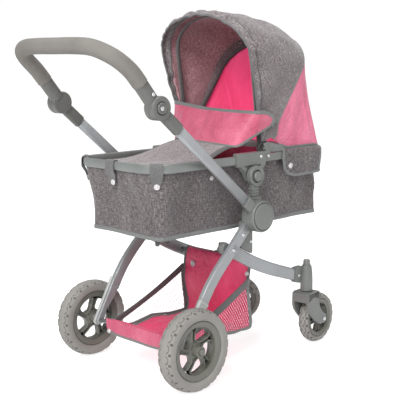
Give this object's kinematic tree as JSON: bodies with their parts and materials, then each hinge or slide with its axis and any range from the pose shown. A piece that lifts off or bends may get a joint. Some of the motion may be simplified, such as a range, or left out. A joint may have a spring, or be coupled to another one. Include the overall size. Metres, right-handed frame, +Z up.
{
  "type": "doll stroller",
  "caption": "Toy pram with a folding oval-tube frame, swivelling front casters, a reclining carrycot with a two-bow hood and apron, a turning push handle and a net-sided basket.",
  "frame": {"origin": "on the floor, under the middle of the bounding box", "axes": "+X ahead, the way it is pushed; +Y to the left; +Z up"},
  "size_m": [0.6372, 0.353, 0.695],
  "materials": {
    "rail": "satin silver-grey paint",
    "grey_plastic": "fine satin, mid grey",
    "light_plastic": "satin, pale grey",
    "wheel_plastic": "satin, olive grey",
    "tyre_foam": "matt EVA foam, light grey",
    "grip_foam": "matt foam, taupe grey",
    "steel": "plain",
    "heather_cloth": "heather grey-brown weave",
    "apron_cloth": "light heather grey weave",
    "pink_cloth": "smooth pink lining cloth"
  },
  "bodies": {
    "chassis": {"rear_axle": "steel", "basket": "pink_cloth", "rear_leg_L": "rail", "rear_leg_R": "rail", "rear_leg_socket_L": "light_plastic", "rear_leg_socket_R": "light_plastic", "hub_inner_L": "grey_plastic", "hub_inner_R": "grey_plastic", "leg_link_L": "grey_plastic", "leg_link_R": "grey_plastic"},
    "push_frame": {"push_arm_L": "rail", "push_arm_R": "rail", "hub_outer_L": "grey_plastic", "hub_outer_R": "grey_plastic", "handle_knuckle_lower_L": "grey_plastic", "handle_knuckle_lower_R": "grey_plastic"},
    "push_handle": {"handle_grip": "grip_foam", "handle_knuckle_upper_L": "grey_plastic", "handle_knuckle_upper_R": "grey_plastic"},
    "front_frame": {"front_crossbar": "rail", "front_leg_L": "rail", "front_leg_R": "rail", "front_leg_plug_L": "grey_plastic", "front_leg_plug_R": "grey_plastic", "caster_housing_L": "grey_plastic", "caster_housing_R": "grey_plastic"},
    "seat_carrier": {"seat_adapter_L": "grey_plastic", "seat_adapter_R": "grey_plastic"},
    "carrycot": {"rim_bracket_L": "grey_plastic", "rim_bracket_R": "grey_plastic", "rim_tube_foot": "rail", "rim_tube_head": "rail", "cot_shell": "heather_cloth", "mattress": "pink_cloth", "apron": "apron_cloth", "wind_flap": "pink_cloth"},
    "hood_rear_frame": {"hood_bow_rear": "grey_plastic", "hood_rear": "pink_cloth"},
    "hood_front_frame": {"hood_bow_front": "grey_plastic", "hood_front": "heather_cloth"},
    "caster_L": {"caster_fork_L": "grey_plastic", "caster_stem_L": "light_plastic"},
    "front_wheel_L": {"front_rim_L": "wheel_plastic", "front_tyre_L": "tyre_foam"},
    "rear_wheel_L": {"rear_tyre_L": "tyre_foam", "rear_rim_L": "wheel_plastic", "rear_hub_cap_L": "wheel_plastic"},
    "handle_button_L": {"handle_button_L": "grey_plastic"},
    "hub_button_L": {"hub_button_L": "grey_plastic"},
    "recline_button_L": {"recline_button_L": "grey_plastic"},
    "caster_R": {"caster_fork_R": "grey_plastic", "caster_stem_R": "light_plastic"},
    "front_wheel_R": {"front_rim_R": "wheel_plastic", "front_tyre_R": "tyre_foam"},
    "rear_wheel_R": {"rear_tyre_R": "tyre_foam", "rear_rim_R": "wheel_plastic", "rear_hub_cap_R": "wheel_plastic"},
    "handle_button_R": {"handle_button_R": "grey_plastic"},
    "hub_button_R": {"hub_button_R": "grey_plastic"},
    "recline_button_R": {"recline_button_R": "grey_plastic"}
  },
  "joints": [
    {"name": "frame_fold", "type": "hinge", "parent": "chassis", "child": "push_frame", "pos_m": [0.06385, 0, 0.3], "axis": [0, 1, 0], "range_deg": [0, 150]},
    {"name": "front_leg_fold", "type": "hinge", "parent": "chassis", "child": "front_frame", "pos_m": [0.00085, 0, 0.24], "axis": [0, 1, 0], "range_deg": [0, 50], "deforming": ["basket"]},
    {"name": "handle_turn", "type": "hinge", "parent": "push_frame", "child": "push_handle", "pos_m": [-0.19515, 0, 0.52], "axis": [0, 1, 0], "range_deg": [-60, 60]},
    {"name": "cot_lift", "type": "slide", "parent": "chassis", "child": "seat_carrier", "axis": [0, 0, 1], "range_m": [0, 0.05]},
    {"name": "cot_recline", "type": "hinge", "parent": "seat_carrier", "child": "carrycot", "pos_m": [0.06885, 0, 0.376], "axis": [0, 1, 0], "range_deg": [-25, 0]},
    {"name": "hood_rear_fold", "type": "hinge", "parent": "carrycot", "child": "hood_rear_frame", "pos_m": [0.10485, 0, 0.427], "axis": [0, 1, 0], "range_deg": [0, 42], "deforming": ["hood_rear"]},
    {"name": "hood_front_fold", "type": "hinge", "parent": "hood_rear_frame", "child": "hood_front_frame", "pos_m": [0.10485, 0, 0.427], "axis": [0, 1, 0], "range_deg": [0, 38], "deforming": ["hood_front"]},
    {"name": "caster_swivel_L", "type": "hinge", "parent": "front_frame", "child": "caster_L", "pos_m": [0.22885, 0.125, 0.118], "axis": [0, 0, 1], "continuous": true},
    {"name": "front_wheel_spin_L", "type": "hinge", "parent": "caster_L", "child": "front_wheel_L", "pos_m": [0.25656, 0.10048, 0.0526], "axis": [0.6626, 0.749, 0], "continuous": true},
    {"name": "rear_wheel_spin_L", "type": "hinge", "parent": "chassis", "child": "rear_wheel_L", "pos_m": [-0.12415, 0.152, 0.0775], "axis": [0, 1, 0], "continuous": true},
    {"name": "handle_button_press_L", "type": "slide", "parent": "push_frame", "child": "handle_button_L", "axis": [0, -1, 0], "range_m": [0, 0.003], "stiffness_N_per_m": 300},
    {"name": "hub_button_press_L", "type": "slide", "parent": "push_frame", "child": "hub_button_L", "axis": [0, -1, 0], "range_m": [0, 0.003], "stiffness_N_per_m": 300},
    {"name": "recline_button_press_L", "type": "slide", "parent": "seat_carrier", "child": "recline_button_L", "axis": [0, -1, 0], "range_m": [0, 0.003], "stiffness_N_per_m": 300},
    {"name": "caster_swivel_R", "type": "hinge", "parent": "front_frame", "child": "caster_R", "pos_m": [0.22885, -0.125, 0.118], "axis": [0, 0, 1], "continuous": true},
    {"name": "front_wheel_spin_R", "type": "hinge", "parent": "caster_R", "child": "front_wheel_R", "pos_m": [0.26571, -0.12178, 0.0526], "axis": [-0.0872, 0.9962, 0], "continuous": true},
    {"name": "rear_wheel_spin_R", "type": "hinge", "parent": "chassis", "child": "rear_wheel_R", "pos_m": [-0.12415, -0.152, 0.0775], "axis": [0, 1, 0], "continuous": true},
    {"name": "handle_button_press_R", "type": "slide", "parent": "push_frame", "child": "handle_button_R", "axis": [0, 1, 0], "range_m": [0, 0.003], "stiffness_N_per_m": 300},
    {"name": "hub_button_press_R", "type": "slide", "parent": "push_frame", "child": "hub_button_R", "axis": [0, 1, 0], "range_m": [0, 0.003], "stiffness_N_per_m": 300},
    {"name": "recline_button_press_R", "type": "slide", "parent": "seat_carrier", "child": "recline_button_R", "axis": [0, 1, 0], "range_m": [0, 0.003], "stiffness_N_per_m": 300}
  ],
  "couplings": [
    {"joint": "front_leg_fold", "follows": "frame_fold", "ratio": 0.33333},
    {"joint": "hood_front_fold", "follows": "hood_rear_fold", "ratio": 0.90476}
  ]
}
